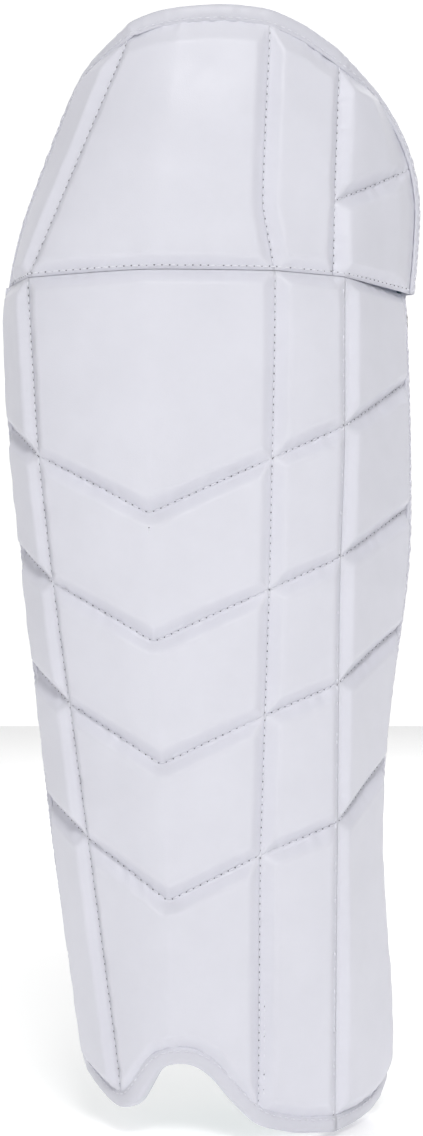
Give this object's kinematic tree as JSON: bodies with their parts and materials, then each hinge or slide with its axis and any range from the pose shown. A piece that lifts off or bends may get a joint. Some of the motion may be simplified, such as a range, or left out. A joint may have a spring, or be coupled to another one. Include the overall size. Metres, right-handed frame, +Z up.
{
  "type": "cricket leg pad",
  "caption": "White wicketkeeper's leg pad with raised chevron cells, a hinged knee hood, a flexing side wing and elastic calf straps that protect the shin.",
  "frame": {"origin": "centre of the leg space, level with the pad's lowest edge", "axes": "+Z up the shin, -Y towards the front face, +X towards the wing side"},
  "size_m": [0.2445, 0.1538, 0.6351],
  "materials": {
    "cover": "satin",
    "binding": "satin",
    "cell_foam": "matte",
    "foam_board": "matte",
    "lining": "matte",
    "bolster": "matte",
    "webbing": "matte",
    "hook_pile": "matte",
    "loop_pile": "matte"
  },
  "bodies": {
    "shin": {"shin_cover_left_1": "cover", "shin_cover_left_2": "cover", "shin_cover_left_3": "cover", "shin_cover_left_4": "cover", "shin_cover_left_5": "cover", "shin_cover_main_1": "cover", "shin_cover_main_2": "cover", "shin_cover_main_3": "cover", "shin_cover_main_4": "cover", "shin_cover_main_5": "cover", "shin_cover_centre_1": "cover", "shin_cover_centre_2": "cover", "shin_cover_centre_3": "cover", "shin_cover_centre_4": "cover", "shin_cover_centre_5": "cover", "shin_foam_left": "cell_foam", "shin_foam_main": "cell_foam", "shin_foam_centre": "cell_foam", "shin_board_left": "foam_board", "shin_board_main": "foam_board", "shin_board_centre": "foam_board", "shin_lining": "lining", "shin_bolster_left": "bolster", "shin_bolster_right": "bolster", "instep_pad": "bolster", "shin_binding": "binding", "knee_web": "webbing", "strap_anchors": "webbing"},
    "wing": {"shin_cover_wing_1": "cover", "shin_cover_wing_2": "cover", "shin_cover_wing_3": "cover", "shin_cover_wing_4": "cover", "shin_cover_wing_5": "cover", "wing_foam": "cell_foam", "wing_board": "foam_board", "wing_lining": "lining", "wing_binding": "binding", "strap_landing_patches": "loop_pile"},
    "hood": {"hood_cover_left": "cover", "hood_cover_main": "cover", "hood_cover_centre": "cover", "hood_cover_wing_lower": "cover", "hood_cover_wing_upper": "cover", "hood_foam": "cell_foam", "hood_board": "foam_board", "hood_lining": "lining", "knee_cushion": "bolster", "knee_bolster_left": "bolster", "knee_bolster_right": "bolster", "hood_binding": "binding"},
    "strap_upper": {"strap_upper_root": "webbing"},
    "strap_upper_end": {"strap_upper_band": "webbing", "strap_upper_hook_patch": "hook_pile"},
    "strap_middle": {"strap_middle_root": "webbing"},
    "strap_middle_end": {"strap_middle_band": "webbing", "strap_middle_hook_patch": "hook_pile"},
    "strap_lower": {"strap_lower_root": "webbing"},
    "strap_lower_end": {"strap_lower_band": "webbing", "strap_lower_hook_patch": "hook_pile"}
  },
  "joints": [
    {"name": "hood_flex", "type": "hinge", "parent": "shin", "child": "hood", "pos_m": [0, -0.078, 0.484], "axis": [1, 0, 0], "range_deg": [0, 12], "stiffness_Nm_per_rad": 2},
    {"name": "wing_flex", "type": "hinge", "parent": "shin", "child": "wing", "pos_m": [0.075, -0.053, 0.484], "axis": [-0.0103, 0.0289, -0.9995], "range_deg": [0, 20], "stiffness_Nm_per_rad": 1},
    {"name": "strap_upper_swing", "type": "hinge", "parent": "shin", "child": "strap_upper", "pos_m": [-0.10942, -0.01083, 0.455], "axis": [0, 0, 1], "range_deg": [0, 100]},
    {"name": "strap_upper_bend", "type": "hinge", "parent": "strap_upper", "child": "strap_upper_end", "pos_m": [-0.05146, 0.05161, 0.455], "axis": [0, 0, 1], "range_deg": [0, 70]},
    {"name": "strap_middle_swing", "type": "hinge", "parent": "shin", "child": "strap_middle", "pos_m": [-0.10029, -0.00945, 0.335], "axis": [0, 0, 1], "range_deg": [0, 100]},
    {"name": "strap_middle_bend", "type": "hinge", "parent": "strap_middle", "child": "strap_middle_end", "pos_m": [-0.04748, 0.05166, 0.335], "axis": [0, 0, 1], "range_deg": [0, 70]},
    {"name": "strap_lower_swing", "type": "hinge", "parent": "shin", "child": "strap_lower", "pos_m": [-0.08697, -0.00633, 0.204], "axis": [0, 0, 1], "range_deg": [0, 100]},
    {"name": "strap_lower_bend", "type": "hinge", "parent": "strap_lower", "child": "strap_lower_end", "pos_m": [-0.03844, 0.04414, 0.204], "axis": [0, 0, 1], "range_deg": [0, 70]}
  ]
}
